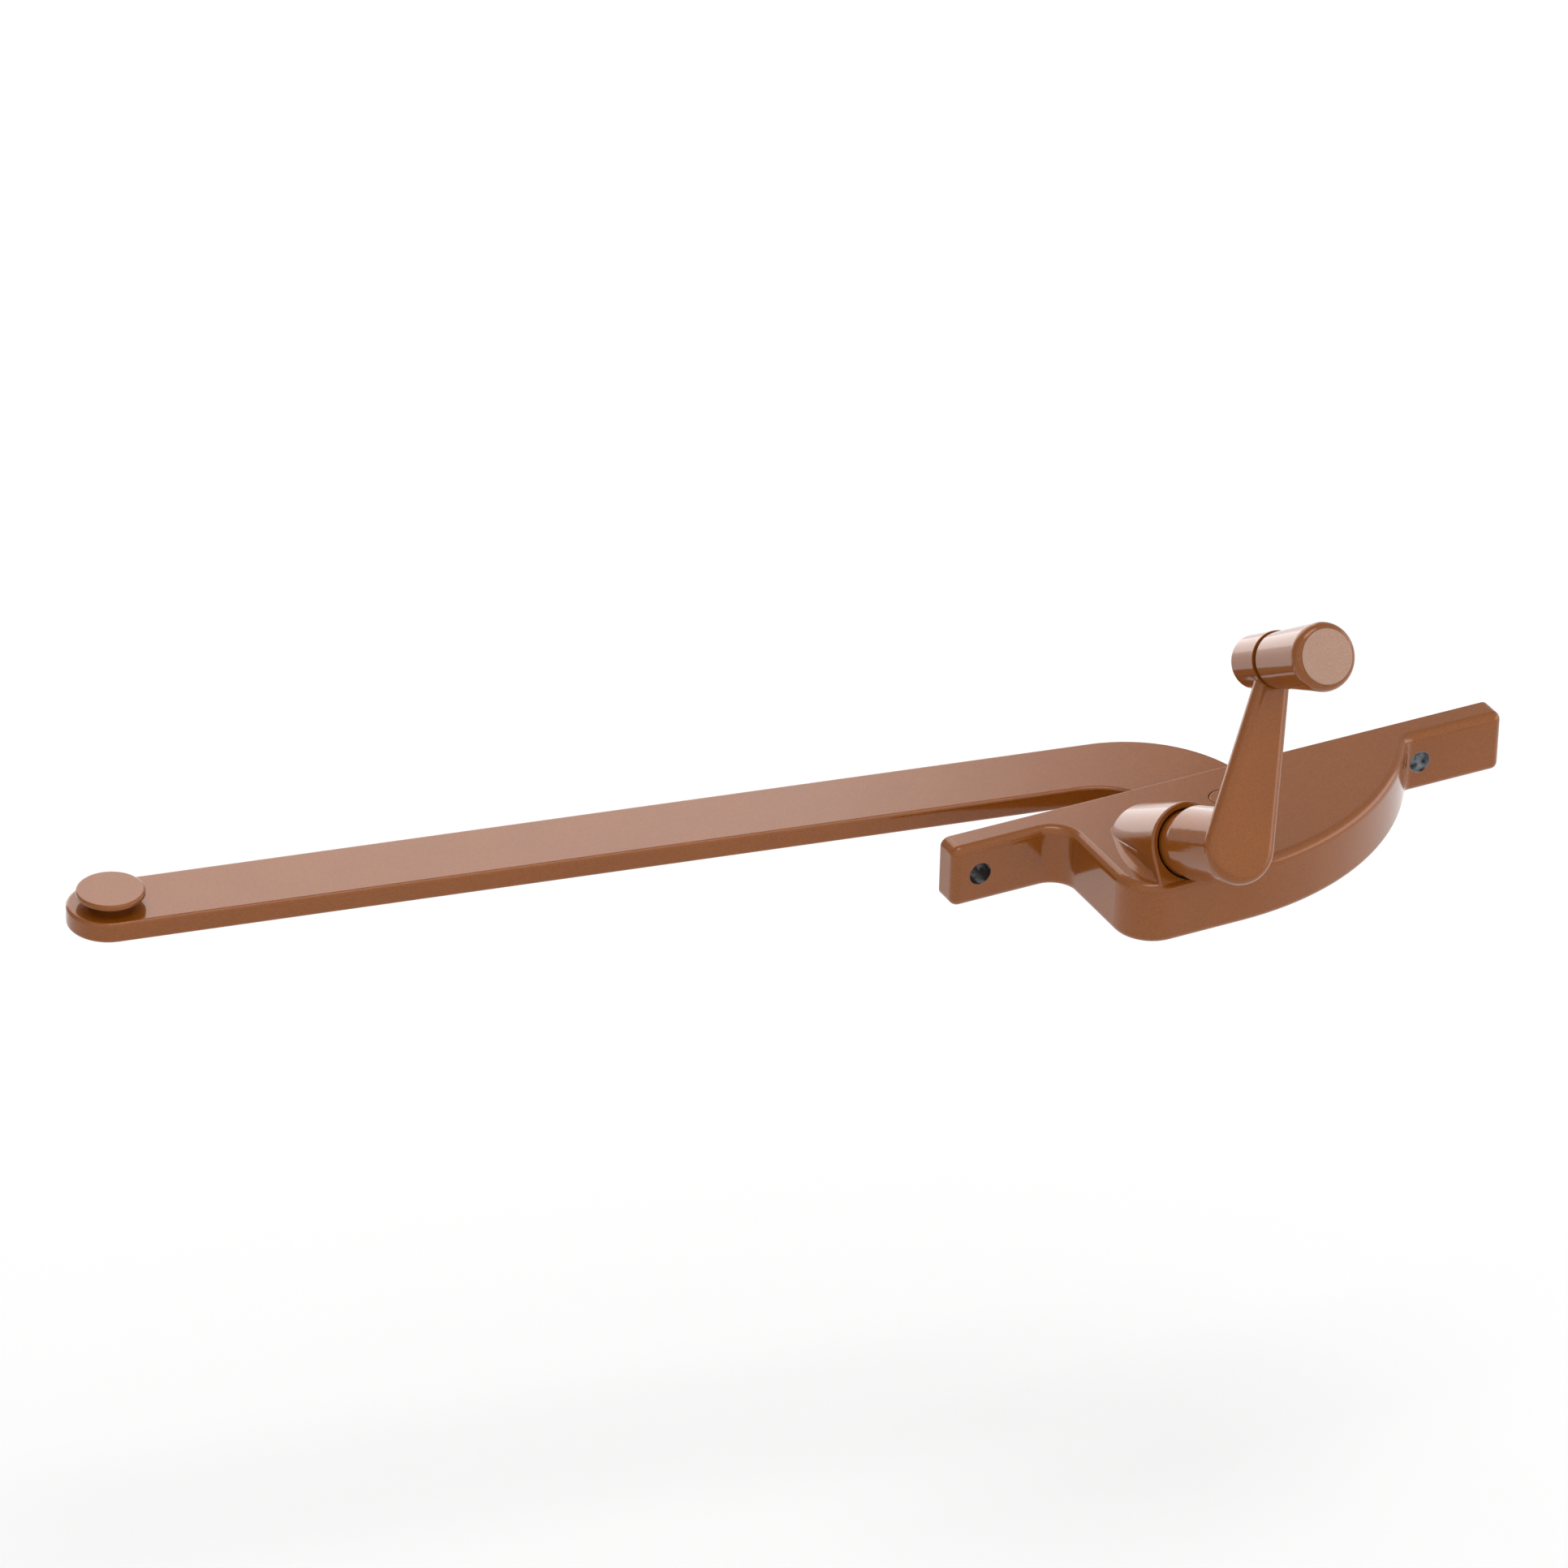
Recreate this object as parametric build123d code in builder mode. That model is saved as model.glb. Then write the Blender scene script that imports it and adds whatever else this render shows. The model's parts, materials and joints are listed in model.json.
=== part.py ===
"""Surface-mounted window crank operator: single gooseneck arm, worm and sector drive.

Frame, in millimetres: X runs along the mounting plate, +Y points out through the
window frame, and +Z is up. The origin is on the back plane, midway between the two
mounting holes. The arm stands 10 degrees open from lying along the frame.
"""
import os
from math import acos, atan2, cos, degrees, pi, radians, sin, sqrt, tan

from build123d import *

# ---------------------------------------------------------------- driving dimensions
# Mounting plate and case
case_height = 13.5
hole_spacing = 103.5
hole_dia = 4.7
plate_left = -57.9
plate_right = 71.6
ear_depth = 5.9
case_left = -32.7
case_right = 46.0
case_front = -36.0
ear_fillet = 5.0
corner_radius = 8.5
front_flat_end = -7.2
front_arc_radius = 66.5
top_round = 1.9
bottom_round = 1.5
roof = 3.0
wall = 2.6
cover_thick = 1.2
cover_inset = 1.4
cover_play = 0.05
end_corner_radius = 1.8
ear_valley_radius = 2.6
hollow_left = -6.5
tooth_room = 0.4
coring_centre = (-27.6, -17.5)
coring_width = 4.6
coring_length = 17.0
coring_corner = 2.0
coring_depth = 6.0

# Screws of the bottom cover
cover_screw_spots = [(-28.6, -5.2), (-26.0, -30.6), (-5.5, -31.6), (41.0, -6.5)]
screw_length = 5.0
screw_shank_radius = 1.5
screw_head_radius = 2.7
screw_land = 0.6
cross_length = 2.8
cross_width = 0.6
cross_depth = 0.9

# Pivot of the arm
pivot_x = 2.0
pivot_y = -10.5
pin_radius = 3.175
bushing_radius = 4.75
washer_radius = 7.5
spacer_radius = 6.5
washer_thick = 0.4
washer_gap = 0.1
pin_flare = 0.9
pin_chamfer = 0.35

# Arm
arm_thick = 4.5
arm_width = 17.3
arm_length = 228.6
arm_offset = 24.95
arm_angle = 10.3
arm_edge_round = 0.8
arm_edge_start = 9.0
neck_outer_radius = 28.2
neck_outer_start = -17.5
neck_outer_end = 5.0
neck_inner_radius = 14.0
neck_inner_start = -25.0
neck_inner_end = 25.0
hub_eye_radius = 12.4
slot_left = -14.5
slot_right = 36.5
slot_clear = 0.5

# Guide stud riveted to the end of the arm
stud_shank_radius = 3.0
stud_inset = 0.4
stud_neck_radius = 4.2
stud_head_radius = 7.0
stud_height = 3.1
stud_neck_height = 0.9
stud_rim_height = 1.0
stud_edge_round = 0.5
stud_rivet_height = 0.7
stud_rivet_bevel = 0.6

# Crossed-helical drive between the arm's sector and the worm
sector_teeth = 25
normal_module = 1.25
worm_lead_angle = 10.0
spindle_tilt = 29.5
pressure_angle = 20.0
flank_relief = 0.22
addendum = 1.1
dedendum = 1.56
first_tooth = -2
last_tooth = 6
sector_start = 143.0
sector_end = 293.0
root_sink = 0.6
thread_sink = 0.15
thread_turns = 2.25
turns_before_mesh = 1.25

# Spindle: stations are distances along its axis from the case's top face
spindle_foot_y = -21.5
boss_radius = 8.5
boss_back = -10.0
boss_rim = 11.6
boss_back_round = 2.5
boss_rim_round = 0.5
boss_web_sink = 1.0
recess_radius = 7.3
recess_floor = 4.5
recess_clear = 0.3
front_bush_radius = 5.3
front_bush_back = -3.0
shoulder_radius = 4.4
shoulder_thick = 0.9
neck_radius = 2.6
front_journal_radius = 4.0
rear_journal_radius = 1.75
rear_bush_radius = 2.75
rear_bush_back = -19.8
rear_bush_front = -16.8
worm_back = -16.3
worm_front = -8.6
worm_cavity_radius = 5.15
spindle_end = 29.5
spline_teeth = 18
spline_outer_radius = 3.95
spline_depth = 0.45
spline_runout = 0.6
spline_clear = 0.05
nose_room = 0.3
ring_thick = 0.9
ring_groove_depth = 0.5
ring_rise = 1.6
ring_mouth_width = 3.6
ring_mouth_depth = 4.0
thrust_thick = 0.8

# Crank handle
hub_radius = 7.7
hub_back = 15.6
hub_bevel = 0.9
hub_inset = 0.05
sleeve_radius = 6.9
sleeve_back = 11.2
lever_front = 32.2
lever_thick = 5.0
lever_draft = 25.0
lever_back_round = 1.2
lever_front_round = 2.0
lever_length = 37.5
lever_angle = 27.7
bulb_radius = 8.75
bulb_shift = (1.2, -1.3)
lever_tip_radius = 4.25
lever_tip_shift = 0.6
collar_radius = 5.5
collar_front_radius = 6.0
collar_back = 22.2

# Set screw through the hub
screw_station = 21.5
screw_radius = 2.5
set_screw_length = 3.2
set_screw_gap = 0.1
hex_radius = 1.25
hex_depth = 1.6

# Knob
knob_back_radius = 5.75
knob_front_radius = 6.95
knob_face_radius = 5.6
knob_face_rim = 0.2
knob_length = 20.1
knob_bevel = 2.1
knob_back_bevel = 0.5
knob_gap = 0.6
knob_washer_inset = 0.7
knob_pin_radius = 2.0
pin_head_radius = 3.4
pin_head_thick = 1.6
pin_head_clear = 0.4
pin_head_room = 2.6
cap_thick = 1.2
cap_inset = 0.6
cap_lip = 0.15

# Clearance on the radius of a running fit, and between splines
run_clear = 0.04
# Play along the axis of a turning piece, and the overshoot of a through cut
end_play = 0.1
cut_over = 1.0

# ---------------------------------------------------------------- derived dimensions
case_top = case_height / 2
case_bottom = -case_height / 2
ceiling = case_top - roof
cover_top = case_bottom + cover_thick
arm_top = ceiling - washer_thick - washer_gap
arm_bottom = arm_top - arm_thick
lower_washer_top = arm_bottom - washer_gap
arm_reach = sqrt(arm_length**2 - arm_offset**2)
front_arc_y = case_front + front_arc_radius

# Sector and worm pitch radii. The worm's lead angle and the sector's helix angle add
# up to the tilt of the spindle out of the sector's plane.
sector_helix = radians(spindle_tilt - worm_lead_angle)
lead_angle = radians(worm_lead_angle)
sector_radius = normal_module * sector_teeth / (2 * cos(sector_helix))
worm_radius = normal_module / (2 * sin(lead_angle))
worm_tip = worm_radius + addendum
worm_root = worm_radius - dedendum
sector_tip = sector_radius + addendum
sector_root = sector_radius - dedendum
worm_lead = 2 * pi * worm_radius * tan(lead_angle)
tooth_pitch = 360 / sector_teeth

# Spindle axis: it leaves the case's top face at spindle_foot, leaning up to the front
tilt = radians(spindle_tilt)
spindle_dir = Vector(0, -cos(tilt), sin(tilt))
spindle_up = Vector(0, sin(tilt), cos(tilt))
spindle_foot = Vector(pivot_x - sector_radius - worm_radius, spindle_foot_y, case_top)
mesh_station = (spindle_foot.Y - pivot_y) / cos(tilt)
mesh_height = case_top + mesh_station * sin(tilt)
lever_dir = Vector(1, 0, 0) * sin(radians(lever_angle)) + spindle_up * cos(radians(lever_angle))
knob_foot = spindle_foot + lever_dir * lever_length


def across_spindle(station):
    """Plane across the spindle at a station, facing the handle."""
    return Plane(origin=spindle_foot + spindle_dir * station, x_dir=(1, 0, 0), z_dir=spindle_dir)


def across_knob(station):
    """Plane across the knob's axis at a station, facing out of the handle."""
    return Plane(origin=knob_foot + spindle_dir * station, x_dir=(1, 0, 0), z_dir=spindle_dir)


def along_knob(station):
    """Plane through the knob's axis: its X is the radius and its Y runs outwards."""
    return Plane(origin=knob_foot + spindle_dir * station, x_dir=(1, 0, 0), z_dir=-spindle_up)


def arm_plane(height):
    """Level plane at the pivot: its -X runs along the arm and its +Y points out."""
    return Plane(
        origin=(pivot_x, pivot_y, height),
        x_dir=(cos(radians(arm_angle)), -sin(radians(arm_angle)), 0),
        z_dir=(0, 0, 1),
    )


def case_inset(gap):
    """Outline of the case without its ears, drawn in by a gap."""
    right = case_right - gap
    radius = front_arc_radius - gap
    end_y = front_arc_y - sqrt(radius**2 - (right - front_flat_end) ** 2)
    sweep = degrees(atan2(end_y - front_arc_y, right - front_flat_end)) + 90
    with BuildSketch() as inset:
        with BuildLine():
            Line((case_left + gap, -gap), (case_left + gap, case_front + corner_radius))
            CenterArc(
                (case_left + corner_radius, case_front + corner_radius),
                corner_radius - gap,
                180,
                90,
            )
            Line((case_left + corner_radius, case_front + gap), (front_flat_end, case_front + gap))
            CenterArc((front_flat_end, front_arc_y), radius, 270, sweep)
            Polyline((right, end_y), (right, -gap), (case_left + gap, -gap))
        make_face()
    return inset.sketch


def teardrop(big_centre, big_radius, tip_centre, tip_radius):
    """Outline of two discs and the two lines that touch them both."""
    run_x = tip_centre[0] - big_centre[0]
    run_y = tip_centre[1] - big_centre[1]
    heading = degrees(atan2(run_y, run_x))
    # Angle from the centre line to the radius that meets a touching line
    spread = degrees(acos((big_radius - tip_radius) / sqrt(run_x**2 + run_y**2)))
    with BuildSketch() as outline:
        with BuildLine():
            near = CenterArc(big_centre, big_radius, heading + spread, 360 - 2 * spread)
            far = CenterArc(tip_centre, tip_radius, heading - spread, 2 * spread)
            Line(near @ 1, far @ 0)
            Line(far @ 1, near @ 0)
        make_face()
    return outline.sketch


def spline_outline(radius):
    """Toothed outline of the spindle's splines, or of the bore that takes them."""
    points = []
    for tooth in range(spline_teeth):
        for part, depth in ((0.0, 0.0), (0.3, 0.0), (0.5, spline_depth), (0.8, spline_depth)):
            angle = 2 * pi * (tooth + part) / spline_teeth
            reach = radius - depth
            points.append((reach * cos(angle), reach * sin(angle)))
    return points


os.makedirs("parts", exist_ok=True)

# ---------------------------------------------------------------- gear case
front_meet_x = front_flat_end + sqrt(front_arc_radius**2 - (front_arc_y + ear_depth) ** 2)
front_sweep = degrees(atan2(-ear_depth - front_arc_y, front_meet_x - front_flat_end)) + 90

with BuildPart() as gear_case:
    # Plate and case are one casting of constant height
    with BuildSketch(Plane.XY.offset(case_bottom)):
        with BuildLine():
            Polyline((plate_left, 0), (plate_left, -ear_depth), (case_left - ear_fillet, -ear_depth))
            CenterArc((case_left - ear_fillet, -ear_depth - ear_fillet), ear_fillet, 0, 90)
            Line((case_left, -ear_depth - ear_fillet), (case_left, case_front + corner_radius))
            CenterArc(
                (case_left + corner_radius, case_front + corner_radius),
                corner_radius,
                180,
                90,
            )
            Line((case_left + corner_radius, case_front), (front_flat_end, case_front))
            CenterArc((front_flat_end, front_arc_y), front_arc_radius, 270, front_sweep)
            Polyline(
                (front_meet_x, -ear_depth),
                (plate_right, -ear_depth),
                (plate_right, 0),
                (plate_left, 0),
            )
        make_face()
    extrude(amount=case_height)
    # Round the ears' outer corners and the valley where the right ear meets the front
    ear_edges = gear_case.edges().filter_by(Axis.Z)
    ear_edges = ear_edges.filter_by_position(Axis.Y, -ear_depth - 0.1, -ear_depth + 0.1)
    valley = ear_edges.sort_by(Axis.X)[-2]
    outer_corners = [ear_edges.sort_by(Axis.X)[0], ear_edges.sort_by(Axis.X)[-1]]
    fillet(valley, radius=ear_valley_radius)
    fillet(outer_corners, radius=end_corner_radius)
    top_rim = gear_case.faces().sort_by(Axis.Z)[-1].edges()
    fillet(top_rim.filter_by(lambda e: e.center().Y < -0.01), radius=top_round)
    bottom_rim = gear_case.faces().sort_by(Axis.Z)[0].edges()
    fillet(bottom_rim.filter_by(lambda e: e.center().Y < -0.01), radius=bottom_round)
    # Spindle boss, leaning out of the top face, with upright sides below its widest line
    web_depth = (boss_rim * sin(tilt) + boss_web_sink) / cos(tilt)
    with BuildSketch(across_spindle(boss_back)):
        Circle(boss_radius)
        with Locations((0, -web_depth / 2)):
            Rectangle(2 * boss_radius, web_depth)
    extrude(amount=boss_rim - boss_back)
    arcs = gear_case.edges().filter_by(GeomType.CIRCLE)
    boss_rims = arcs.filter_by(lambda e: abs(e.radius - boss_radius) < 0.01)
    fillet(boss_rims.sort_by(Axis.Y)[-1], radius=boss_back_round)
    rim_plane = across_spindle(boss_rim)
    rim_edges = gear_case.edges().filter_by(lambda e: abs(rim_plane.to_local_coords(e.center()).Z) < 0.01)
    fillet(rim_edges.filter_by(lambda e: e.center().Z > case_top), radius=boss_rim_round)
    # Hollow for the sector and the arm's neck, open underneath
    with BuildSketch(Plane.XY.offset(cover_top)):
        add(case_inset(wall))
        with Locations(((slot_right + hollow_left) / 2, case_front / 2)):
            Rectangle(slot_right - hollow_left, -case_front, mode=Mode.INTERSECT)
        with Locations((pivot_x, pivot_y)):
            Circle(sector_tip + tooth_room)
        add(case_inset(wall), mode=Mode.INTERSECT)
        with Locations(cover_screw_spots):
            Circle(screw_head_radius + screw_land, mode=Mode.SUBTRACT)
    extrude(amount=ceiling - cover_top, mode=Mode.SUBTRACT)
    # Coring that keeps the left-hand wall an even thickness
    with BuildSketch(Plane.XY.offset(cover_top)):
        with Locations(coring_centre):
            RectangleRounded(coring_width, coring_length, coring_corner)
    extrude(amount=coring_depth, mode=Mode.SUBTRACT)
    # Slot in the back wall for the arm's swing
    with BuildSketch(Plane.XZ.offset(-cut_over)):
        with Locations(((slot_left + slot_right) / 2, (ceiling + arm_bottom - slot_clear) / 2)):
            Rectangle(slot_right - slot_left, ceiling - arm_bottom + slot_clear)
    extrude(amount=wall + 2 * cut_over, mode=Mode.SUBTRACT)
    # Seat of the bottom cover
    with BuildSketch(Plane.XY.offset(case_bottom)):
        add(case_inset(cover_inset))
    extrude(amount=cover_thick, mode=Mode.SUBTRACT)
    # Bores along the spindle: recess, front bushing, worm space and rear bushing
    for start, end, radius in (
        (recess_floor, boss_rim + cut_over, recess_radius),
        (front_bush_back, recess_floor, front_bush_radius),
        (rear_bush_front, front_bush_back, worm_cavity_radius),
        (rear_bush_back, rear_bush_front, rear_bush_radius),
    ):
        with BuildSketch(across_spindle(start)):
            Circle(radius)
        extrude(amount=end - start, mode=Mode.SUBTRACT)
    # Mounting holes, pivot hole and cover screw holes
    with BuildSketch(Plane.XZ):
        with Locations((-hole_spacing / 2, 0), (hole_spacing / 2, 0)):
            Circle(hole_dia / 2)
    extrude(amount=ear_depth + ear_valley_radius, mode=Mode.SUBTRACT)
    with BuildSketch(Plane.XY.offset(ceiling)):
        with Locations((pivot_x, pivot_y)):
            Circle(pin_radius)
    extrude(amount=roof, mode=Mode.SUBTRACT)
    with BuildSketch(Plane.XY.offset(case_bottom)):
        with Locations(cover_screw_spots):
            Circle(screw_shank_radius)
    extrude(amount=screw_length, mode=Mode.SUBTRACT)
gear_case.part.label = "gear_case"
export_step(gear_case.part, "parts/gear_case.step")

# ---------------------------------------------------------------- bottom cover
with BuildPart() as bottom_cover:
    with BuildSketch(Plane.XY.offset(case_bottom)):
        add(case_inset(cover_inset + cover_play))
    extrude(amount=cover_thick)
    with BuildSketch(Plane.XY.offset(case_bottom)):
        with Locations((pivot_x, pivot_y)):
            Circle(pin_radius)
    extrude(amount=cover_thick, mode=Mode.SUBTRACT)
    with Locations(Plane.XY.offset(case_bottom)):
        with Locations(cover_screw_spots):
            Cone(
                screw_head_radius,
                screw_shank_radius,
                cover_thick,
                align=(Align.CENTER, Align.CENTER, Align.MIN),
                mode=Mode.SUBTRACT,
            )
        with Locations((pivot_x, pivot_y)):
            Cone(
                pin_radius + pin_flare,
                pin_radius,
                cover_thick,
                align=(Align.CENTER, Align.CENTER, Align.MIN),
                mode=Mode.SUBTRACT,
            )
bottom_cover.part.label = "bottom_cover"
export_step(bottom_cover.part, "parts/bottom_cover.step")

# ---------------------------------------------------------------- cover screws
with BuildPart() as cover_screws:
    with Locations(Plane.XY.offset(case_bottom)):
        with Locations(cover_screw_spots):
            Cone(
                screw_head_radius,
                screw_shank_radius,
                cover_thick,
                align=(Align.CENTER, Align.CENTER, Align.MIN),
            )
            Cylinder(
                screw_shank_radius,
                screw_length,
                align=(Align.CENTER, Align.CENTER, Align.MIN),
            )
    # Cross recess in each head
    with BuildSketch(Plane.XY.offset(case_bottom)):
        with Locations(cover_screw_spots):
            Rectangle(cross_length, cross_width)
            Rectangle(cross_width, cross_length)
    extrude(amount=cross_depth, mode=Mode.SUBTRACT)
cover_screws.part.label = "cover_screws"
export_step(cover_screws.part, "parts/cover_screws.step")

# ---------------------------------------------------------------- pivot pin and its stack
with BuildPart() as pivot_pin:
    with BuildSketch(Plane(origin=(pivot_x, pivot_y, 0), x_dir=(1, 0, 0), z_dir=(0, -1, 0))):
        with BuildLine():
            Polyline(
                (0, case_bottom),
                (pin_radius + pin_flare, case_bottom),
                (pin_radius, cover_top),
                (pin_radius, case_top - pin_chamfer),
                (pin_radius - pin_chamfer, case_top),
                (0, case_top),
                (0, case_bottom),
            )
        make_face()
    revolve(axis=Axis((pivot_x, pivot_y, 0), (0, 0, 1)))
pivot_pin.part.label = "pivot_pin"
export_step(pivot_pin.part, "parts/pivot_pin.step")

rings_on_pivot = (
    ("upper_thrust_washer", arm_top + washer_gap, washer_thick, pin_radius, washer_radius),
    ("lower_thrust_washer", lower_washer_top - washer_thick, washer_thick, pin_radius, washer_radius),
    ("pivot_spacer", cover_top, lower_washer_top - washer_thick - cover_top, pin_radius, spacer_radius),
    ("pivot_bushing", arm_bottom, arm_thick, pin_radius + run_clear, bushing_radius),
)
for ring_name, ring_bottom, ring_height, bore_radius, outer_radius in rings_on_pivot:
    with BuildPart() as ring:
        with BuildSketch(Plane.XY.offset(ring_bottom)):
            with Locations((pivot_x, pivot_y)):
                Circle(outer_radius)
                Circle(bore_radius, mode=Mode.SUBTRACT)
        extrude(amount=ring_height)
    ring.part.label = ring_name
    export_step(ring.part, f"parts/{ring_name}.step")

# ---------------------------------------------------------------- operator arm
back_edge = arm_offset + arm_width / 2
front_edge = arm_offset - arm_width / 2
outer_centre = (neck_outer_start, back_edge - neck_outer_radius)
inner_centre = (neck_inner_start, front_edge - neck_inner_radius)
outer_end = (
    outer_centre[0] + neck_outer_radius * cos(radians(neck_outer_end)),
    outer_centre[1] + neck_outer_radius * sin(radians(neck_outer_end)),
)
inner_end = (
    inner_centre[0] + neck_inner_radius * cos(radians(neck_inner_end)),
    inner_centre[1] + neck_inner_radius * sin(radians(neck_inner_end)),
)
half_base = pi / (2 * sector_teeth) - flank_relief / (2 * sector_radius)
transverse_angle = atan2(tan(radians(pressure_angle)), cos(sector_helix))
base_radius = sector_radius * cos(transverse_angle)


def flank_angle(radius):
    """Half the angle that a tooth covers at a radius, on an involute flank."""
    local = sqrt(max((radius / base_radius) ** 2 - 1, 0))
    pitch = tan(transverse_angle)
    involute = local - atan2(local, 1)
    return half_base + (pitch - transverse_angle) - involute


def tooth_points(middle):
    """Cross-section of one sector tooth about its middle angle, root to tip and back."""
    mid_radius = (sector_radius + sector_tip) / 2
    radii = [sector_root - root_sink, base_radius, sector_radius, mid_radius, sector_tip]
    rising = [(r, middle - flank_angle(max(r, base_radius))) for r in radii]
    falling = [(r, middle + flank_angle(max(r, base_radius))) for r in reversed(radii)]
    return [(r * cos(a), r * sin(a)) for r, a in rising + falling]


with BuildPart() as operator_arm:
    # Strap, gooseneck and half-round end
    with BuildSketch(arm_plane(arm_bottom)):
        with BuildLine():
            Line((-arm_reach, back_edge), (neck_outer_start, back_edge))
            CenterArc(outer_centre, neck_outer_radius, 90, neck_outer_end - 90)
            Polyline(outer_end, (0, 0), inner_end)
            CenterArc(inner_centre, neck_inner_radius, neck_inner_end, 90 - neck_inner_end)
            Line((neck_inner_start, front_edge), (-arm_reach, front_edge))
            CenterArc((-arm_reach, arm_offset), arm_width / 2, 270, -180)
        make_face()
    extrude(amount=arm_thick)
    levels = operator_arm.edges().group_by(Axis.Z)
    level_edges = levels[0] + levels[-1]
    pivot_frame = arm_plane(0)
    fillet(
        level_edges.filter_by(lambda e: pivot_frame.to_local_coords(e.center()).Y > arm_edge_start),
        radius=arm_edge_round,
    )
    # Eye round the pivot and the root disc of the sector
    with BuildSketch(arm_plane(arm_bottom)):
        Circle(hub_eye_radius)
        with BuildLine():
            root_arc = CenterArc((0, 0), sector_root, sector_start, sector_end - sector_start)
            Polyline(root_arc @ 1, (0, 0), root_arc @ 0)
        make_face()
    extrude(amount=arm_thick)
    # Helical teeth, lofted between their lower and upper sections
    for tooth in range(first_tooth, last_tooth + 1):
        middle = radians(180 + arm_angle + (tooth + 0.5) * tooth_pitch)
        for height in (arm_bottom, arm_top):
            twist = -(height - mesh_height) * tan(sector_helix) / sector_radius
            with BuildSketch(arm_plane(height)):
                with BuildLine():
                    Polyline(*tooth_points(middle + twist), close=True)
                make_face()
        loft(ruled=True)
    # Eye for the bushing and hole for the stud
    with BuildSketch(arm_plane(arm_bottom)):
        Circle(bushing_radius)
        with Locations((stud_inset - arm_reach, arm_offset)):
            Circle(stud_shank_radius)
    extrude(amount=arm_thick, mode=Mode.SUBTRACT)
operator_arm.part.label = "operator_arm"
export_step(operator_arm.part, "parts/operator_arm.step")

# ---------------------------------------------------------------- guide stud
stud_place = arm_plane(0).from_local_coords(Vector(stud_inset - arm_reach, arm_offset, 0))
stud_top = arm_top + stud_height
stud_bottom = arm_bottom - stud_rivet_height
with BuildPart() as guide_stud:
    with BuildSketch(Plane(origin=stud_place, x_dir=(1, 0, 0), z_dir=(0, -1, 0))):
        with BuildLine():
            Polyline(
                (stud_head_radius - stud_edge_round, stud_top),
                (0, stud_top),
                (0, stud_bottom),
                (stud_neck_radius - stud_rivet_bevel, stud_bottom),
                (stud_neck_radius, arm_bottom),
                (stud_shank_radius, arm_bottom),
                (stud_shank_radius, arm_top),
                (stud_neck_radius, arm_top),
                (stud_neck_radius, arm_top + stud_neck_height),
                (stud_head_radius, stud_top - stud_rim_height),
                (stud_head_radius, stud_top - stud_edge_round),
            )
            CenterArc(
                (stud_head_radius - stud_edge_round, stud_top - stud_edge_round),
                stud_edge_round,
                0,
                90,
            )
        make_face()
    revolve(axis=Axis(stud_place, (0, 0, 1)))
guide_stud.part.label = "guide_stud"
export_step(guide_stud.part, "parts/guide_stud.step")

# ---------------------------------------------------------------- worm spindle
thread_start = mesh_station - turns_before_mesh * worm_lead
half_thread = pi * normal_module / 4 - flank_relief / 2
flank = tan(radians(pressure_angle))
thread_foot = worm_root - thread_sink - worm_radius
inner_half = half_thread - thread_foot * flank
outer_half = half_thread - addendum * flank

shoulder_front = front_bush_back - end_play
ring_back = recess_floor + thrust_thick + end_play
nose_start = recess_floor + thrust_thick + ring_thick + spline_runout

with BuildPart() as worm_spindle:
    # One right-hand thread, swept and then trimmed to the worm's length
    with BuildLine() as thread_path:
        Helix(
            pitch=worm_lead,
            height=thread_turns * worm_lead,
            radius=worm_radius,
            center=spindle_foot + spindle_dir * thread_start,
            direction=spindle_dir,
        )
    helix = thread_path.line
    with BuildSketch(Plane(origin=helix @ 0, x_dir=-spindle_up, z_dir=helix % 0)):
        Polygon(
            (thread_foot, -inner_half),
            (addendum, -outer_half),
            (addendum, outer_half),
            (thread_foot, inner_half),
            align=None,
        )
    sweep(path=helix, is_frenet=True)
    with BuildSketch(across_spindle(worm_back)):
        Circle(worm_tip + cut_over)
    extrude(amount=worm_front - worm_back, mode=Mode.INTERSECT)
    # Journals, worm core and the thrust shoulder behind the front bushing
    for begin, end, radius in (
        (rear_bush_back + 2 * end_play, worm_back, rear_journal_radius - run_clear),
        (worm_back, worm_front, worm_root),
        (worm_front, front_bush_back, neck_radius),
        (shoulder_front - shoulder_thick, shoulder_front, shoulder_radius),
        (shoulder_front, nose_start, front_journal_radius),
    ):
        with BuildSketch(across_spindle(begin)):
            Circle(radius)
        extrude(amount=end - begin)
    # Splined nose that carries the handle
    with BuildSketch(across_spindle(nose_start)):
        with BuildLine():
            Polyline(*spline_outline(spline_outer_radius), close=True)
        make_face()
    extrude(amount=spindle_end - nose_start)
    # Groove for the retaining ring
    with BuildSketch(across_spindle(ring_back)):
        Circle(front_journal_radius + ring_groove_depth)
        Circle(front_journal_radius - ring_groove_depth, mode=Mode.SUBTRACT)
    extrude(amount=ring_thick, mode=Mode.SUBTRACT)
worm_spindle.part.label = "worm_spindle"
export_step(worm_spindle.part, "parts/worm_spindle.step")

# ---------------------------------------------------------------- rings on the spindle
front_bore = front_journal_radius + run_clear
thrust_radius = recess_radius - recess_clear
rings_on_spindle = (
    ("spindle_front_bushing", front_bush_back, recess_floor, front_bore, front_bush_radius),
    ("spindle_rear_bushing", rear_bush_back, rear_bush_front, rear_journal_radius, rear_bush_radius),
    ("spindle_thrust_washer", recess_floor, recess_floor + thrust_thick, front_bore, thrust_radius),
)
for ring_name, ring_start, ring_end, bore_radius, outer_radius in rings_on_spindle:
    with BuildPart() as ring:
        with BuildSketch(across_spindle(ring_start)):
            Circle(outer_radius)
            Circle(bore_radius, mode=Mode.SUBTRACT)
        extrude(amount=ring_end - ring_start)
    ring.part.label = ring_name
    export_step(ring.part, f"parts/{ring_name}.step")

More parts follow.
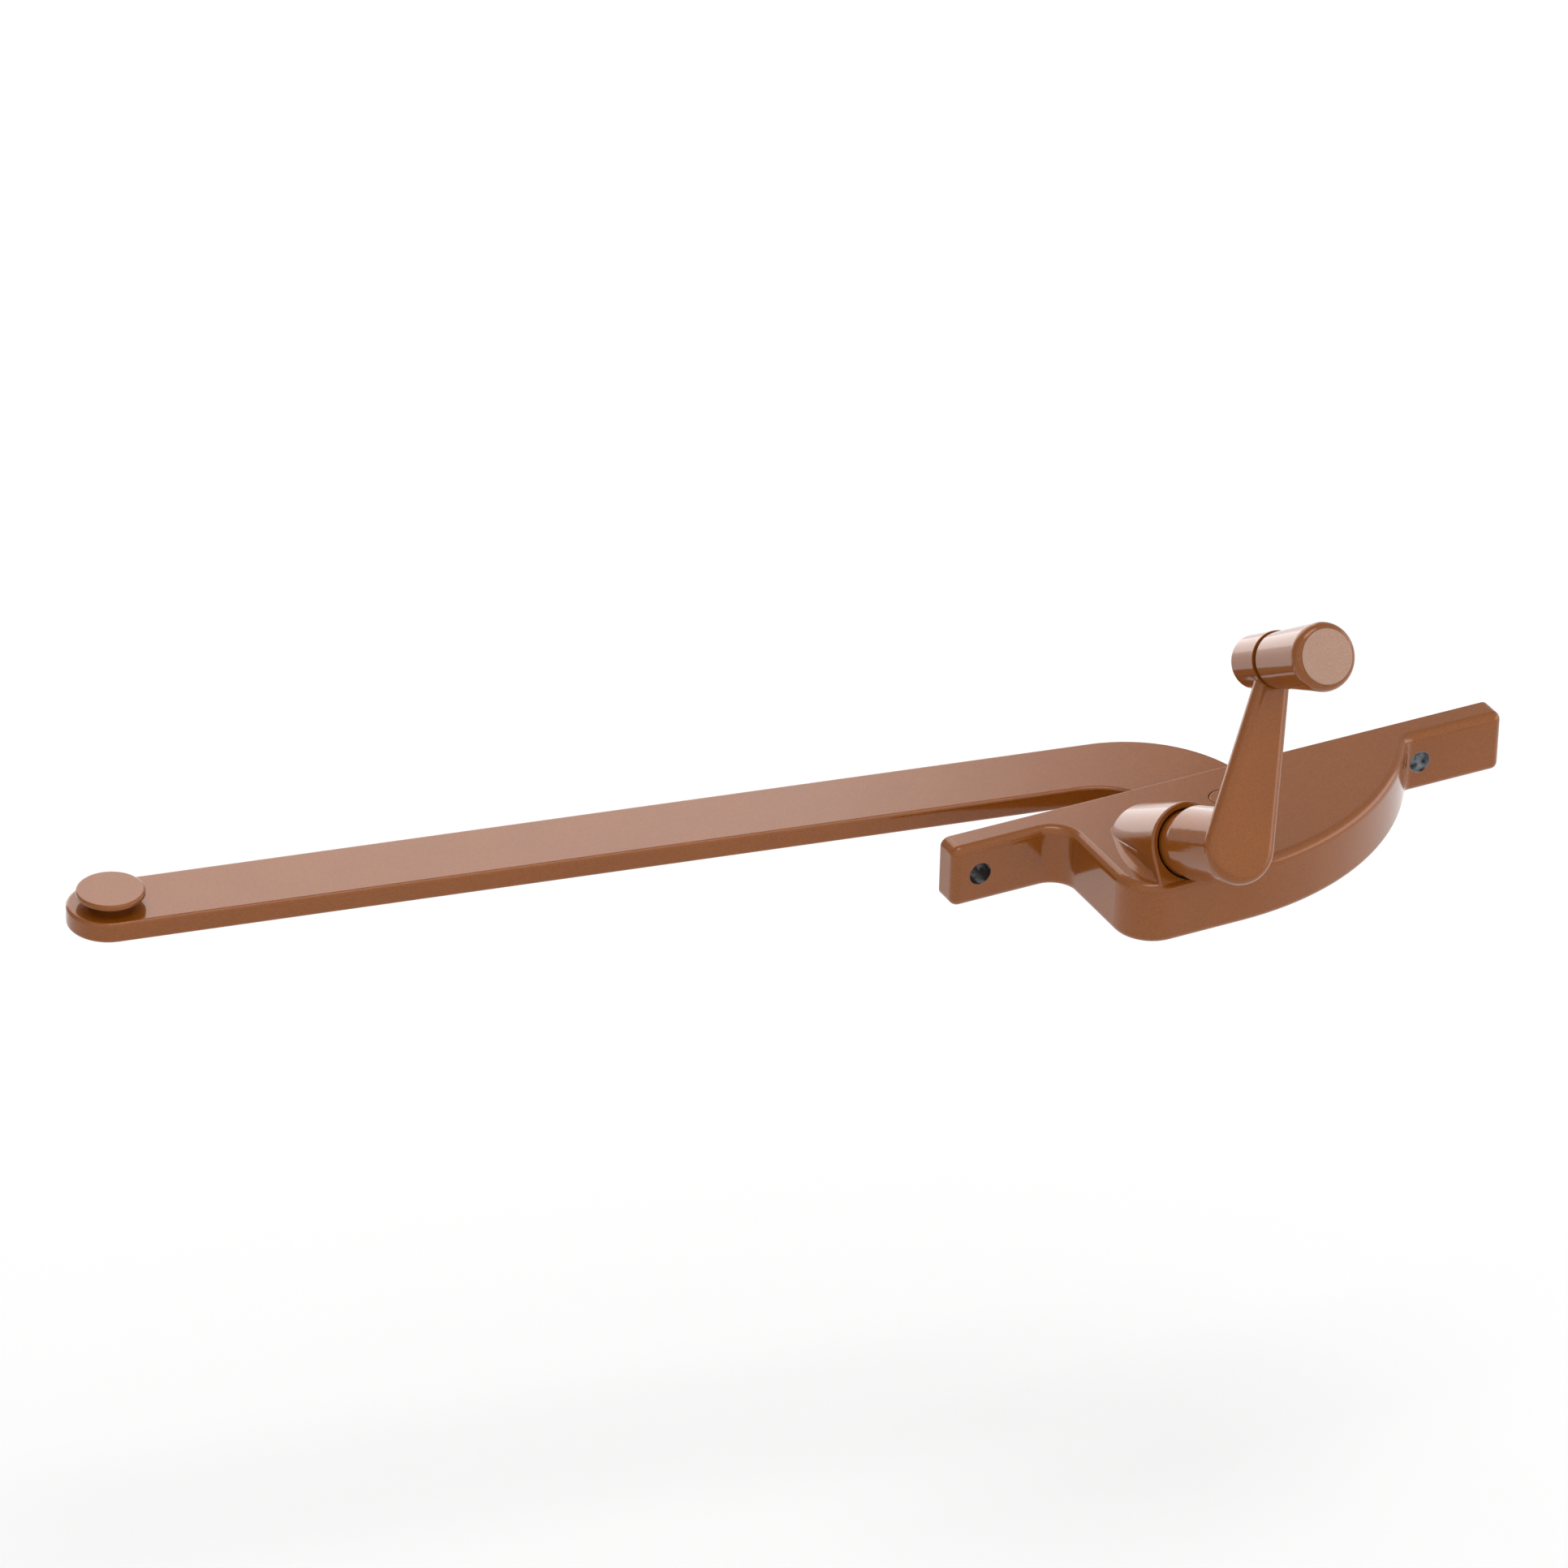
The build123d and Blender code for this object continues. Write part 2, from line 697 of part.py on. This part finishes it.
with BuildPart() as spindle_retaining_ring:
    with BuildSketch(across_spindle(ring_back)):
        Circle(front_journal_radius + ring_rise)
        Circle(front_journal_radius - ring_groove_depth, mode=Mode.SUBTRACT)
        with Locations((0, -front_journal_radius)):
            Rectangle(ring_mouth_width, ring_mouth_depth, mode=Mode.SUBTRACT)
    extrude(amount=ring_thick)
spindle_retaining_ring.part.label = "spindle_retaining_ring"
export_step(spindle_retaining_ring.part, "parts/spindle_retaining_ring.step")

# ---------------------------------------------------------------- crank handle
tip_x = lever_length * sin(radians(lever_angle)) + lever_tip_shift
tip_y = lever_length * cos(radians(lever_angle))
# Rounding the drafted edge draws the lever's outline in by this much
round_inset = lever_front_round * (1 / tan(radians(45 - lever_draft / 2)) - 1)

with BuildPart() as crank_handle:
    # Teardrop lever, widest at its front face and drafted towards its back
    with BuildSketch(across_spindle(lever_front)):
        add(teardrop(bulb_shift, bulb_radius, (tip_x, tip_y), lever_tip_radius))
    extrude(amount=-lever_thick, taper=lever_draft)
    back_loop = crank_handle.faces().sort_by(Axis(spindle_foot, spindle_dir))[0].edges()
    fillet(back_loop, radius=lever_back_round)
    front_loop = crank_handle.faces().sort_by(Axis(spindle_foot, spindle_dir))[-1].edges()
    fillet(front_loop, radius=lever_front_round)
    # Hub on the spindle, flaring into the lever's round end
    with BuildSketch(across_spindle(hub_back)):
        Circle(hub_radius)
    with BuildSketch(across_spindle(lever_front - lever_front_round)):
        with Locations(bulb_shift):
            Circle(bulb_radius - round_inset - hub_inset)
    loft()
    chamfer(crank_handle.edges().sort_by(Axis(spindle_foot, spindle_dir))[0], length=hub_bevel)
    # Sleeve behind the hub, reaching into the boss
    with BuildSketch(across_spindle(sleeve_back)):
        Circle(sleeve_radius)
    extrude(amount=hub_back + hub_bevel - sleeve_back)
    # Drafted collar for the knob's pin
    with BuildSketch(across_knob(collar_back)):
        Circle(collar_radius)
    with BuildSketch(across_knob(lever_front)):
        Circle(collar_front_radius)
    loft()
    # Splined bore, pin bore and set screw hole
    with BuildSketch(across_spindle(sleeve_back)):
        with BuildLine():
            Polyline(*spline_outline(spline_outer_radius + spline_clear), close=True)
        make_face()
    extrude(amount=spindle_end + nose_room - sleeve_back, mode=Mode.SUBTRACT)
    with BuildSketch(across_knob(collar_back)):
        Circle(knob_pin_radius)
    extrude(amount=lever_front - collar_back, mode=Mode.SUBTRACT)
    screw_axis_plane = Plane(
        origin=spindle_foot + spindle_dir * screw_station,
        x_dir=(1, 0, 0),
        z_dir=-spindle_up,
    )
    with BuildSketch(screw_axis_plane):
        Circle(screw_radius)
    extrude(amount=hub_radius + cut_over, mode=Mode.SUBTRACT)
crank_handle.part.label = "crank_handle"
export_step(crank_handle.part, "parts/crank_handle.step")

# ---------------------------------------------------------------- handle set screw
with BuildPart() as handle_set_screw:
    screw_plane = screw_axis_plane.offset(spline_outer_radius + set_screw_gap)
    with BuildSketch(screw_plane):
        Circle(screw_radius)
    extrude(amount=set_screw_length)
    with BuildSketch(screw_plane.offset(set_screw_length - hex_depth)):
        RegularPolygon(hex_radius, 6)
    extrude(amount=hex_depth, mode=Mode.SUBTRACT)
handle_set_screw.part.label = "handle_set_screw"
export_step(handle_set_screw.part, "parts/handle_set_screw.step")

# ---------------------------------------------------------------- knob, washer, pin, cap
knob_back = lever_front + knob_gap
knob_front = knob_back + knob_length
head_seat = knob_front - cap_thick - pin_head_room
knob_axis = Axis(knob_foot, spindle_dir)
cap_seat_radius = knob_face_radius - cap_inset

with BuildPart() as knob_washer:
    with BuildSketch(across_knob(lever_front)):
        Circle(collar_radius - knob_washer_inset)
        Circle(knob_pin_radius + run_clear, mode=Mode.SUBTRACT)
    extrude(amount=knob_gap - end_play)
knob_washer.part.label = "knob_washer"
export_step(knob_washer.part, "parts/knob_washer.step")

with BuildPart() as crank_knob:
    with BuildSketch(along_knob(knob_back)):
        with BuildLine():
            profile = Polyline(
                (knob_face_radius + knob_face_rim, knob_length),
                (cap_seat_radius, knob_length),
                (cap_seat_radius, knob_length - cap_thick),
                (pin_head_radius + pin_head_clear, knob_length - cap_thick),
                (pin_head_radius + pin_head_clear, head_seat - knob_back),
                (knob_pin_radius + run_clear, head_seat - knob_back),
                (knob_pin_radius + run_clear, 0),
                (knob_back_radius - knob_back_bevel, 0),
                (knob_back_radius, knob_back_bevel),
                (knob_front_radius, knob_length - knob_bevel),
            )
            TangentArc(profile @ 1, profile @ 0, tangent=profile % 1)
        make_face()
    revolve(axis=knob_axis)
crank_knob.part.label = "crank_knob"
export_step(crank_knob.part, "parts/crank_knob.step")

with BuildPart() as knob_pin:
    with BuildSketch(across_knob(collar_back)):
        Circle(knob_pin_radius)
    extrude(amount=head_seat + end_play - collar_back)
    with BuildSketch(across_knob(head_seat + end_play)):
        Circle(pin_head_radius)
    extrude(amount=pin_head_thick)
knob_pin.part.label = "knob_pin"
export_step(knob_pin.part, "parts/knob_pin.step")

with BuildPart() as knob_cap:
    with BuildSketch(across_knob(knob_front - cap_thick)):
        Circle(cap_seat_radius)
    extrude(amount=cap_thick)
    with BuildSketch(across_knob(knob_front)):
        Circle(knob_face_radius)
    extrude(amount=cap_lip)
knob_cap.part.label = "knob_cap"
export_step(knob_cap.part, "parts/knob_cap.step")
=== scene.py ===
"""Looks for the window crank operator: procedural finishes, camera, floor and soft light.

All lengths are in metres, in the frame of the CAD part.
"""
import json
from math import pi, sin, sqrt

import bpy
from mathutils import Matrix, Vector


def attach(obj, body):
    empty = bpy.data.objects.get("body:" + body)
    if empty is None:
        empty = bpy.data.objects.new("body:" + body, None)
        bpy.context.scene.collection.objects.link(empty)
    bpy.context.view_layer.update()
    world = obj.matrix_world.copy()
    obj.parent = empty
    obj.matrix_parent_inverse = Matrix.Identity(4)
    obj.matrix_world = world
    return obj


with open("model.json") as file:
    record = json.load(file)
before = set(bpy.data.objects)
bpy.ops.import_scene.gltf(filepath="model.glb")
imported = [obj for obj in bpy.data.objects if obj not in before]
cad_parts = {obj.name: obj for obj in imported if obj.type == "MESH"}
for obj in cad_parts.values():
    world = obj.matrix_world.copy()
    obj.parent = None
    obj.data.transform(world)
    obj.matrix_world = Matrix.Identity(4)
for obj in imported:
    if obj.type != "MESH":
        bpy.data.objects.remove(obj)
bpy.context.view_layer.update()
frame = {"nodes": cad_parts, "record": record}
nodes = frame["nodes"]

# Mounting holes of the plate, with the width over which their bare metal gives way to paint
HOLE_X = 0.05175
HOLE_RADIUS = 0.00237
HOLE_RIM = 0.0001


# ------------------------------------------------------------------ material helpers
def new_material(name):
    """A node material with its tree and its Principled shader."""
    material = bpy.data.materials.new(name)
    material.use_nodes = True
    tree = material.node_tree
    return material, tree, tree.nodes["Principled BSDF"]


def object_place(tree):
    """The object's own coordinates, which are the part's frame at rest."""
    return tree.nodes.new("ShaderNodeTexCoord").outputs["Object"]


def coordinate(tree, vector, axis):
    """One coordinate of a vector socket."""
    split = tree.nodes.new("ShaderNodeSeparateXYZ")
    tree.links.new(vector, split.inputs["Vector"])
    return split.outputs[axis]


def noise(tree, scale, detail=2.0, roughness=0.5):
    """Noise over the object's own coordinates, at a scale in features per metre."""
    texture = tree.nodes.new("ShaderNodeTexNoise")
    texture.inputs["Scale"].default_value = scale
    texture.inputs["Detail"].default_value = detail
    texture.inputs["Roughness"].default_value = roughness
    tree.links.new(object_place(tree), texture.inputs["Vector"])
    return texture.outputs["Fac"]


def span(tree, value, low, high, to_low, to_high):
    """Maps a value's range onto another one, clamped."""
    node = tree.nodes.new("ShaderNodeMapRange")
    node.inputs["From Min"].default_value = low
    node.inputs["From Max"].default_value = high
    node.inputs["To Min"].default_value = to_low
    node.inputs["To Max"].default_value = to_high
    tree.links.new(value, node.inputs["Value"])
    return node.outputs["Result"]


def mix_colours(tree, factor, first, second, how="MIX"):
    """Two colours, each a socket or three numbers, mixed by a factor or a socket."""
    node = tree.nodes.new("ShaderNodeMix")
    node.data_type = "RGBA"
    node.blend_type = how
    for key, value in (("Factor", factor), ("A", first), ("B", second)):
        if isinstance(value, float):
            node.inputs[key].default_value = value
        elif isinstance(value, tuple):
            node.inputs[key].default_value = (*value, 1)
        else:
            tree.links.new(value, node.inputs[key])
    return node.outputs["Result"]


def maths(tree, operation, first, second=0.0):
    """A maths node on two values, each a socket or a number."""
    node = tree.nodes.new("ShaderNodeMath")
    node.operation = operation
    for socket, value in zip(node.inputs, (first, second)):
        if isinstance(value, float):
            socket.default_value = value
        else:
            tree.links.new(value, socket)
    return node.outputs["Value"]


def bump(tree, height, depth, under=None):
    """A normal raised by a height map to a depth in metres, over another normal."""
    node = tree.nodes.new("ShaderNodeBump")
    node.inputs["Strength"].default_value = 1.0
    node.inputs["Distance"].default_value = depth
    tree.links.new(height, node.inputs["Height"])
    if under is not None:
        tree.links.new(under, node.inputs["Normal"])
    return node.outputs["Normal"]


def soft_edges(tree, radius):
    """A normal that rounds sharp edges over by a radius."""
    node = tree.nodes.new("ShaderNodeBevel")
    node.samples = 4
    node.inputs["Radius"].default_value = radius
    return node.outputs["Normal"]


def bare_holes(tree):
    """1 in the plate's mounting holes and 0 elsewhere."""
    place = object_place(tree)
    from_middle = maths(tree, "ABSOLUTE", coordinate(tree, place, "X"))
    across = maths(tree, "SUBTRACT", from_middle, HOLE_X)
    height = coordinate(tree, place, "Z")
    square = maths(
        tree,
        "ADD",
        maths(tree, "MULTIPLY", across, across),
        maths(tree, "MULTIPLY", height, height),
    )
    away = maths(tree, "SQRT", square)
    return span(tree, away, HOLE_RADIUS, HOLE_RADIUS + HOLE_RIM, 1.0, 0.0)


# Enamel: grains in features per metre, depths and rounding in metres
FLECK_GRAIN = 4200.0
FLECK_DEPTH = 0.000006
FLECK_ROUGHNESS = (0.38, 0.46)
METAL_SHARE = 0.35
MOTTLE_GRAIN = 90.0
MOTTLE_DARKEST = 0.93
PEEL_GRAIN = 420.0
PEEL_DEPTH = 0.000008
COAT_IOR = 1.5
EDGE_ROUND = 0.00025

# Bare metal in the mounting holes, stained in patches, with painted shade that darkens the
# bores, the left one most
BARE_DARK = (0.030, 0.026, 0.024)
BARE_LIGHT = (0.27, 0.29, 0.32)
BARE_COAT = 0.15
STAIN_GRAIN = 500.0
# Painted shade: offsets across the plate that darken the left hole's bore more than the right
# one's
HOLE_SHADE_LEFT = -0.15
HOLE_SHADE_RIGHT = 0.06


def enamel(name, dark, light, coat_roughness=0.1, with_holes=False):
    """Glossy copper-brown baked enamel with fine metallic fleck and orange peel."""
    material, tree, shader = new_material(name)
    fleck = span(tree, noise(tree, FLECK_GRAIN, 2.0, 0.6), 0.35, 0.65, 0.0, 1.0)
    mottle = span(tree, noise(tree, MOTTLE_GRAIN, 3.0, 0.55), 0.3, 0.7, MOTTLE_DARKEST, 1.0)
    shade = tree.nodes.new("ShaderNodeCombineColor")
    for channel in shade.inputs:
        tree.links.new(mottle, channel)
    colour = mix_colours(tree, fleck, dark, light)
    colour = mix_colours(tree, 1.0, colour, shade.outputs["Color"], "MULTIPLY")
    if with_holes:
        # Painted shade in the bores: the left hole is shaded darker than the right one
        across = coordinate(tree, object_place(tree), "X")
        painted_hole_shade = span(tree, across, -HOLE_X, HOLE_X, HOLE_SHADE_LEFT, HOLE_SHADE_RIGHT)
        stain_and_shade = maths(tree, "ADD", noise(tree, STAIN_GRAIN), painted_hole_shade)
        stain_and_shade = span(tree, stain_and_shade, 0.4, 0.6, 0.0, 1.0)
        metal_tone = mix_colours(tree, stain_and_shade, BARE_DARK, BARE_LIGHT)
        bare = bare_holes(tree)
        colour = mix_colours(tree, bare, colour, metal_tone)
        coat = span(tree, bare, 0.0, 1.0, 1.0, BARE_COAT)
        tree.links.new(coat, shader.inputs["Coat Weight"])
    tree.links.new(colour, shader.inputs["Base Color"])
    tree.links.new(span(tree, fleck, 0.0, 1.0, *FLECK_ROUGHNESS), shader.inputs["Roughness"])
    shader.inputs["Metallic"].default_value = METAL_SHARE
    shader.inputs["Specular IOR Level"].default_value = 0.0
    shader.inputs["Coat Weight"].default_value = 1.0
    shader.inputs["Coat Roughness"].default_value = coat_roughness
    shader.inputs["Coat IOR"].default_value = COAT_IOR
    edges = soft_edges(tree, EDGE_ROUND)
    peel = noise(tree, PEEL_GRAIN, 1.0, 0.4)
    tree.links.new(bump(tree, peel, PEEL_DEPTH, edges), shader.inputs["Coat Normal"])
    tree.links.new(bump(tree, fleck, FLECK_DEPTH, edges), shader.inputs["Normal"])
    return material


# Depth of the fine grain of bare metal and nylon, and how far a metal's roughness varies
GRAIN_DEPTH = 0.00001
ROUGHNESS_SPREAD = 0.07
NYLON_GRAIN = 1500.0
NYLON_ROUGHNESS = (0.42, 0.55)


def metal(name, dark, light, roughness, scale, grain):
    """Bare metal with uneven tone and fine machining or sintering grain."""
    material, tree, shader = new_material(name)
    tone = span(tree, noise(tree, scale, 4.0, 0.6), 0.3, 0.7, 0.0, 1.0)
    fine = noise(tree, grain)
    tree.links.new(mix_colours(tree, tone, dark, light), shader.inputs["Base Color"])
    smooth, rough = roughness - ROUGHNESS_SPREAD, roughness + ROUGHNESS_SPREAD
    tree.links.new(span(tree, fine, 0.3, 0.7, smooth, rough), shader.inputs["Roughness"])
    shader.inputs["Metallic"].default_value = 1.0
    tree.links.new(bump(tree, fine, GRAIN_DEPTH), shader.inputs["Normal"])
    return material


def nylon(name):
    """Dark moulded nylon with a faint satin texture."""
    material, tree, shader = new_material(name)
    fine = noise(tree, NYLON_GRAIN, 3.0)
    tree.links.new(
        mix_colours(tree, fine, (0.012, 0.010, 0.009), (0.030, 0.026, 0.024)),
        shader.inputs["Base Color"],
    )
    tree.links.new(span(tree, fine, 0.3, 0.7, *NYLON_ROUGHNESS), shader.inputs["Roughness"])
    tree.links.new(bump(tree, fine, GRAIN_DEPTH), shader.inputs["Normal"])
    return material


# ------------------------------------------------------------------ finishes
PAINT_DARK = (0.205, 0.054, 0.003)
PAINT_LIGHT = (0.275, 0.078, 0.006)
# Knob cap enamel: satin, and lighter than the rest partly as painted light, for the broad
# sheen its face catches
SATIN_DARK = (0.34, 0.19, 0.13)
SATIN_LIGHT = (0.43, 0.25, 0.18)
SATIN_ROUGHNESS = 0.3
# Bare metals: dark tone, light tone, roughness, scale of the tone, scale of the grain
METALS = {
    "zinc_plate": ((0.42, 0.42, 0.41), (0.62, 0.62, 0.60), 0.32, 260.0, 3000.0),
    "turned_steel": ((0.30, 0.30, 0.31), (0.48, 0.48, 0.49), 0.28, 300.0, 4200.0),
    "sintered_bronze": ((0.36, 0.22, 0.09), (0.52, 0.34, 0.15), 0.45, 500.0, 5200.0),
    # Painted shade: dark brown steel for the thrust washer and retaining ring, standing in
    # for the shade deep in the boss's recess
    "recess_shade_steel": ((0.060, 0.028, 0.012), (0.110, 0.055, 0.025), 0.4, 300.0, 4200.0),
}
paint = enamel("copper_enamel", PAINT_DARK, PAINT_LIGHT)
case_paint = enamel("case_enamel", PAINT_DARK, PAINT_LIGHT, with_holes=True)
satin = enamel("satin_enamel", SATIN_DARK, SATIN_LIGHT, SATIN_ROUGHNESS)
metals = {name: metal(name, *look) for name, look in METALS.items()}

finishes = {
    "case_enamel": paint,
    "arm_enamel": paint,
    "crank_enamel": paint,
    "plated_steel": metals["zinc_plate"],
    "machined_steel": metals["turned_steel"],
    "sintered_bronze": metals["sintered_bronze"],
    "dark_nylon": nylon("dark_nylon"),
}
slots = {part["node"]: part["material_slot"] for part in frame["record"]["subparts"]}
special = {
    "gear_case": case_paint,
    # Lighter satin enamel, partly painted light for the knob face's sheen
    "knob_cap": satin,
    # Thrust washer and retaining ring darkened as painted shade of the boss's recess
    "spindle_thrust_washer": metals["recess_shade_steel"],
    "spindle_retaining_ring": metals["recess_shade_steel"],
}
for name, node in nodes.items():
    node.data.materials.clear()
    node.data.materials.append(special.get(name, finishes[slots[name]]))

# ------------------------------------------------------------------ rounded foot of the boss
BOSS_RADIUS = 0.0085
# How far the rounding runs behind and in front of the spindle's foot
FOOT_BACK = 0.0075
FOOT_FRONT = 0.0125
FOOT_LENGTH = FOOT_BACK + FOOT_FRONT
# Its reach out from the corner: least, added at the widest place, and that place's lean
FOOT_THIN = 0.0003
FOOT_SWELL = 0.0024
FOOT_LEAN = 1.4
# How deep its hidden corner and its two visible borders are sunk
FOOT_SINK = 0.0003
TOP_SINK = 0.00002
WALL_SINK = 0.00003
FOOT_STEPS = 48
ARC_STEPS = 10
SHARP_ANGLE = 0.7

joints = frame["record"]["behaviour"]["joints"]
crank = next(joint for joint in joints if joint["name"] == "crank_turn")
spindle_foot = Vector(crank["pos_m"])
spindle_axis = Vector(crank["axis"])
upright = Vector((0.0, 0.0, 1.0))


def foot_section(along, side):
    """Section of the rounding at a distance behind the spindle's foot, on one side."""
    # Behind the foot the round boss dips through the top face; in front its sides are upright
    dip = max(along * spindle_axis.z / BOSS_RADIUS, 0.0)
    spread = sqrt(1 - dip**2)
    corner = spindle_foot + Vector((side * BOSS_RADIUS * spread, along, 0.0))
    wall = Vector((side * spread, spindle_axis.z * dip, -spindle_axis.y * dip))
    outwards = Vector((wall.x, wall.y, 0.0)).normalized()
    up_wall = wall.cross(upright.cross(outwards))
    up_wall *= 1 if up_wall.z > 0 else -1
    forward = (FOOT_BACK - along) / FOOT_LENGTH
    reach = FOOT_THIN + FOOT_SWELL * max(sin(pi * forward**FOOT_LEAN), 0.0)
    low = corner + outwards * reach - upright * TOP_SINK
    high = corner + up_wall * reach - wall * WALL_SINK
    # A hollow curve from the top face to the wall, pulled towards the corner
    steps = [step / ARC_STEPS for step in range(ARC_STEPS + 1)]
    curve = [low * (1 - s) ** 2 + corner * 2 * s * (1 - s) + high * s**2 for s in steps]
    return curve + [corner - (wall + upright) * FOOT_SINK]


def foot_rounding(name, side):
    """Rounding along one side of the boss's foot, as a closed mesh on the case."""
    stations = [FOOT_BACK - FOOT_LENGTH * step / FOOT_STEPS for step in range(FOOT_STEPS + 1)]
    sections = [foot_section(along, side) for along in stations]
    count = len(sections[0])
    last = range(FOOT_STEPS * count, (FOOT_STEPS + 1) * count)
    faces = [tuple(range(count)), tuple(reversed(last))]
    for step in range(FOOT_STEPS):
        for point in range(count):
            beside = (point + 1) % count
            here = step * count
            there = here + count
            faces.append((here + point, there + point, there + beside, here + beside))
    mesh = bpy.data.meshes.new(name)
    mesh.from_pydata([point for section in sections for point in section], [], faces)
    mesh.shade_smooth()
    mesh.set_sharp_from_angle(angle=SHARP_ANGLE)
    if side > 0:
        mesh.flip_normals()
    mesh.materials.append(paint)
    piece = bpy.data.objects.new(name, mesh)
    bpy.context.scene.collection.objects.link(piece)
    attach(piece, "case")


foot_rounding("boss_foot_left", -1)
foot_rounding("boss_foot_right", 1)

# ------------------------------------------------------------------ floor, light, camera
FLOOR_SIZE = 40.0
FLOOR_Z = -0.16
FLOOR_COLOUR = (0.88, 0.88, 0.88, 1.0)
bpy.ops.mesh.primitive_plane_add(size=FLOOR_SIZE, location=(0.0, 0.0, FLOOR_Z))
floor = bpy.context.object
floor.name = "floor"
floor_material, _, floor_shader = new_material("pale_floor")
floor_shader.inputs["Base Color"].default_value = FLOOR_COLOUR
floor_shader.inputs["Roughness"].default_value = 0.9
floor_shader.inputs["Specular IOR Level"].default_value = 0.0
floor.data.materials.append(floor_material)

# White surroundings, brighter in front of the part than behind it
FRONT_STRENGTH = 1.08
BEHIND_STRENGTH = 0.6
FADE_HALF = 0.4
world = bpy.data.worlds.new("studio")
world.use_nodes = True
bpy.context.scene.world = world
world_tree = world.node_tree
background = world_tree.nodes["Background"]
background.inputs["Color"].default_value = (1.0, 1.0, 1.0, 1.0)
direction = world_tree.nodes.new("ShaderNodeTexCoord").outputs["Generated"]
strength = span(
    world_tree,
    coordinate(world_tree, direction, "Y"),
    -FADE_HALF,
    FADE_HALF,
    FRONT_STRENGTH,
    BEHIND_STRENGTH,
)
world_tree.links.new(strength, background.inputs["Strength"])


def softbox(name, place, aim, width, height, power):
    """A rectangular area light facing a point."""
    light = bpy.data.lights.new(name, "AREA")
    light.shape = "RECTANGLE"
    light.size = width
    light.size_y = height
    light.energy = power
    box = bpy.data.objects.new(name, light)
    box.location = place
    box.rotation_mode = "QUATERNION"
    box.rotation_quaternion = (Vector(aim) - Vector(place)).to_track_quat("-Z", "Y")
    bpy.context.scene.collection.objects.link(box)


# Tall wall of light behind, built from strips that fade out towards the right
WALL_Y = 1.0
WALL_Z = 0.45
WALL_HEIGHT = 1.2
WALL_LEFT = -0.45
WALL_RIGHT = 0.47
WALL_RADIANCE = 1.75
FADE_STEPS = 5
FADE_WIDTH = 0.035
STRIP_GAP = 0.001
for step in range(FADE_STEPS):
    wall_right = WALL_RIGHT + FADE_WIDTH * step
    width = wall_right - WALL_LEFT
    middle = (wall_right + WALL_LEFT) / 2
    power = pi * width * WALL_HEIGHT * WALL_RADIANCE / FADE_STEPS
    # Each strip stands a little in front of the wider one behind it
    place = (middle, WALL_Y + STRIP_GAP * step, WALL_Z)
    softbox(f"back_wall_{step}", place, (middle, 0.0, WALL_Z), width, WALL_HEIGHT, power)

# The other softboxes: place, aim, width, height, power
SOFTBOXES = {
    "overhead": ((0.0, -0.1, 1.1), (0.0, -0.1, 0.0), 0.6, 0.3, 1.7),
    "right_wall": ((1.25, -0.45, 0.3), (0.0, -0.03, 0.03), 1.7, 0.6, 4.3),
}
for name, box in SOFTBOXES.items():
    softbox(name, *box)

CAMERA_PLACE = (-0.8104, -1.3411, 0.93215)
CAMERA_RIGHT = (0.8876, -0.4600, 0.0209)
CAMERA_UP = (0.2191, 0.4619, 0.8594)
CAMERA_LENS = 203.8
SENSOR_WIDTH = 36.0
camera_data = bpy.data.cameras.new("camera")
camera_data.sensor_width = SENSOR_WIDTH
camera_data.lens = CAMERA_LENS
camera = bpy.data.objects.new("camera", camera_data)
right = Vector(CAMERA_RIGHT).normalized()
back = right.cross(Vector(CAMERA_UP)).normalized()
up = back.cross(right)
turn = Matrix((right, up, back)).transposed()
camera.matrix_world = Matrix.Translation(CAMERA_PLACE) @ turn.to_4x4()
bpy.context.scene.collection.objects.link(camera)
bpy.context.scene.camera = camera
bpy.context.scene.view_settings.view_transform = "Standard"
